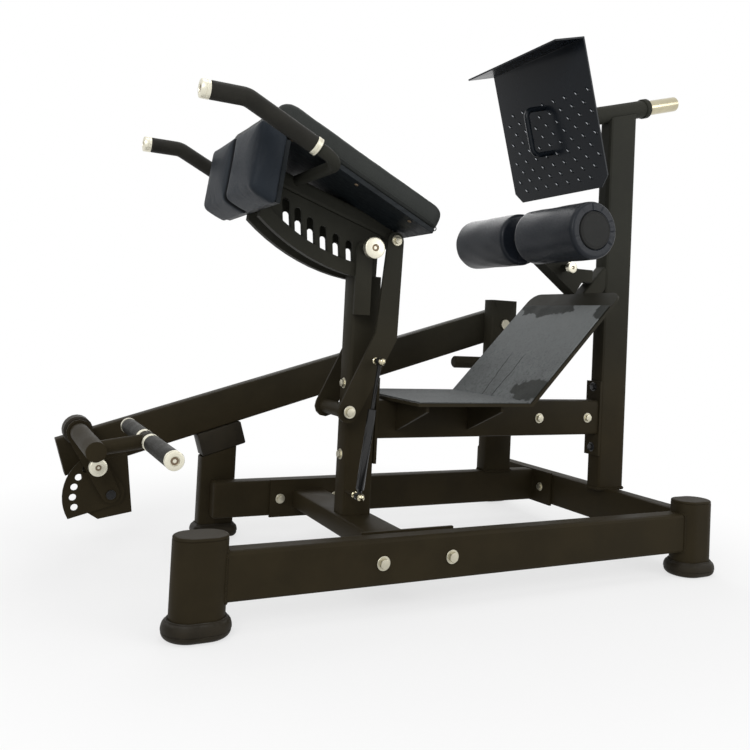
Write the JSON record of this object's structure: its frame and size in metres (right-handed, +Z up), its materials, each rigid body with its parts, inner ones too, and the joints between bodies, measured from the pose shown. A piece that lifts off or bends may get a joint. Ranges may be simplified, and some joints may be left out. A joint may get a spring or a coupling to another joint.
{
  "type": "hyperextension bench",
  "caption": "Free-standing hyperextension bench with a tilting hip pad on a notched carriage, ankle rollers, a foot plate, a sliding back plate and a side pull lever.",
  "frame": {"origin": "on the floor, at the middle of the underside of the near left foot", "axes": "+X along the near rail towards the tall column, +Y across the bench away from the near rail, +Z up"},
  "size_m": [1.7589, 1.032, 1.4137],
  "materials": {
    "frame_paint": "satin near-black powder coat",
    "rubber_foot": "matte black rubber",
    "rubber_mat": "matte worn grey rubber sheet",
    "hip_vinyl": "fine-grained charcoal upholstery vinyl",
    "chest_vinyl": "fine-grained blue-grey upholstery vinyl",
    "roller_vinyl": "navy-charcoal upholstery vinyl, pleated at the ends",
    "board": "dark painted plywood",
    "grip": "matte black grip rubber",
    "chrome": "polished chrome",
    "knob_aluminium": "turned aluminium, slightly warm",
    "tread_plate": "navy-black painted tread plate",
    "gas_black": "gloss black"
  },
  "bodies": {
    "base": {"near_left_post": "frame_paint", "near_right_post": "frame_paint", "rear_right_post": "frame_paint", "rear_left_post": "frame_paint", "near_left_foot": "rubber_foot", "near_right_foot": "rubber_foot", "rear_right_foot": "rubber_foot", "rear_left_foot": "rubber_foot", "near_rail": "frame_paint", "rear_rail": "frame_paint", "right_cross_rail": "frame_paint", "left_cross_tube": "frame_paint", "pad_column": "frame_paint", "tall_column": "frame_paint", "mid_beam": "frame_paint", "lever_post": "frame_paint", "storage_peg": "frame_paint", "foot_plate": "frame_paint", "foot_mat": "rubber_mat", "plate_strut": "frame_paint", "slide_sleeve": "frame_paint", "roller_socket": "frame_paint", "link_axle": "frame_paint", "pin_bracket": "frame_paint", "lever_pivot_bolt": "chrome", "lever_saddle": "rubber_foot"},
    "links": {"link_near": "frame_paint", "link_far": "frame_paint", "link_top_bolt": "chrome"},
    "carriage": {"notch_plate_near": "frame_paint", "notch_plate_far": "frame_paint", "pad_beam": "frame_paint", "hip_board": "board", "hip_pad": "hip_vinyl", "chest_board": "board", "chest_pad_near": "chest_vinyl", "chest_pad_far": "chest_vinyl", "pad_handle_bar": "frame_paint", "pad_grip_near": "grip", "pad_grip_far": "grip"},
    "gas_body": {"gas_cylinder": "gas_black"},
    "gas_piston": {"gas_rod": "gas_black"},
    "pad_pin": {"pad_pin": "knob_aluminium"},
    "lever": {"lever_tube": "frame_paint", "lever_bracket": "frame_paint", "hole_plate": "frame_paint", "hand_pivot_bolt": "chrome"},
    "hand_bar": {"hand_arm": "frame_paint", "hand_hub": "rubber_foot", "hand_bar": "frame_paint", "hand_grip_near": "grip", "hand_grip_far": "grip"},
    "pop_pin": {"pop_pin": "knob_aluminium"},
    "roller_mount": {"roller_arm": "frame_paint"},
    "near_roller": {"near_roller": "roller_vinyl"},
    "far_roller": {"far_roller": "roller_vinyl"},
    "roller_pin": {"roller_pin": "knob_aluminium"},
    "back_plate": {"slide_tube": "chrome", "back_plate": "tread_plate", "pull_bar": "frame_paint"}
  },
  "joints": [
    {"name": "link_swing", "type": "hinge", "parent": "base", "child": "links", "pos_m": [0.4167, 0.327, 0.4], "axis": [0, 1, 0], "range_deg": [0, 30]},
    {"name": "pad_tilt", "type": "hinge", "parent": "links", "child": "carriage", "pos_m": [0.526, 0.327, 0.832], "axis": [0, 1, 0], "range_deg": [-25, 0]},
    {"name": "gas_swing", "type": "hinge", "parent": "base", "child": "gas_body", "pos_m": [0.443, 0.225, 0.197], "axis": [0, 1, 0], "range_deg": [0, 12]},
    {"name": "gas_stroke", "type": "slide", "parent": "gas_body", "child": "gas_piston", "axis": [0.1203, 0, 0.9927], "range_m": [-0.036, 0]},
    {"name": "pad_pin_slide", "type": "slide", "parent": "base", "child": "pad_pin", "axis": [0, 1, 0], "range_m": [0, 0.014]},
    {"name": "lever_lift", "type": "hinge", "parent": "base", "child": "lever", "pos_m": [1.14, 0.707, 0.641], "axis": [0, 1, 0], "range_deg": [0, 30]},
    {"name": "hand_set", "type": "hinge", "parent": "lever", "child": "hand_bar", "pos_m": [-0.079, 0.6012, 0.15], "axis": [0, 1, 0], "range_deg": [-81.5, 0]},
    {"name": "pop_pin_slide", "type": "slide", "parent": "hand_bar", "child": "pop_pin", "axis": [0, 1, 0], "range_m": [0, 0.008]},
    {"name": "roller_slide", "type": "slide", "parent": "base", "child": "roller_mount", "axis": [-0.8191, 0, 0.5736], "range_m": [-0.04, 0.04]},
    {"name": "near_roller_spin", "type": "hinge", "parent": "roller_mount", "child": "near_roller", "pos_m": [0.995, 0.327, 0.887], "axis": [0, 1, 0], "continuous": true},
    {"name": "far_roller_spin", "type": "hinge", "parent": "roller_mount", "child": "far_roller", "pos_m": [0.995, 0.327, 0.887], "axis": [0, 1, 0], "continuous": true},
    {"name": "roller_pin_slide", "type": "slide", "parent": "base", "child": "roller_pin", "axis": [0, -1, 0], "range_m": [0, 0.012]},
    {"name": "back_slide", "type": "slide", "parent": "base", "child": "back_plate", "axis": [0.9613, 0, 0.2756], "range_m": [-0.1, 0.1]}
  ],
  "couplings": [
    {"joint": "pad_tilt", "follows": "link_swing", "ratio": -0.83333},
    {"joint": "gas_swing", "follows": "link_swing", "ratio": 0.399},
    {"joint": "gas_stroke", "follows": "link_swing", "m_per_rad": -0.068}
  ]
}
